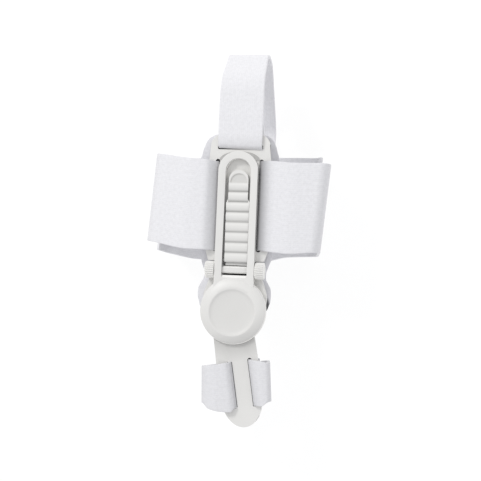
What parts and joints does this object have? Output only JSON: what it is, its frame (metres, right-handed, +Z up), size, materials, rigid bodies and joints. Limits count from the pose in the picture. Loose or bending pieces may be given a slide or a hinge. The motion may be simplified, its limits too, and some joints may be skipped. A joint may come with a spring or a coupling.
{
  "type": "bunion corrector",
  "caption": "Hinged big-toe splint with a round knob cover, ratchet ladder, knurled thumb axle, soft pad and elastic heel, mid-foot and toe strap loops, lying on its back.",
  "frame": {"origin": "middle of the underside of the object's box, on the surface that the strap loops rest on", "axes": "+Z up, out of the splint's front face; +Y along the base plate towards the heel loop; +X to the right seen from the front"},
  "size_m": [0.1074, 0.2118, 0.056],
  "materials": {
    "shell_plastic": "warm white moulded plastic, satin",
    "strap_elastic": "cool white knitted elastic, brushed",
    "pad_cloth": "light grey-white soft cloth over foam"
  },
  "bodies": {
    "splint": {"base_plate": "shell_plastic", "cover_frame": "shell_plastic", "ratchet_ladder": "shell_plastic", "hinge_housing": "shell_plastic", "hinge_pin": "shell_plastic", "pad": "pad_cloth", "heel_strap": "strap_elastic", "midfoot_strap": "strap_elastic"},
    "axle": {"thumb_axle": "shell_plastic"},
    "toe_unit": {"toe_lever": "shell_plastic", "toe_strap": "strap_elastic"}
  },
  "joints": [
    {"name": "toe_swing", "type": "hinge", "parent": "splint", "child": "toe_unit", "pos_m": [0.00275, -0.04206, 0.05], "axis": [0, 0, 1], "range_deg": [-34.8, 15.2]},
    {"name": "axle_turn", "type": "hinge", "parent": "splint", "child": "axle", "pos_m": [0.00275, -0.01955, 0.051], "axis": [1, 0, 0], "range_deg": [-180, 180]}
  ]
}
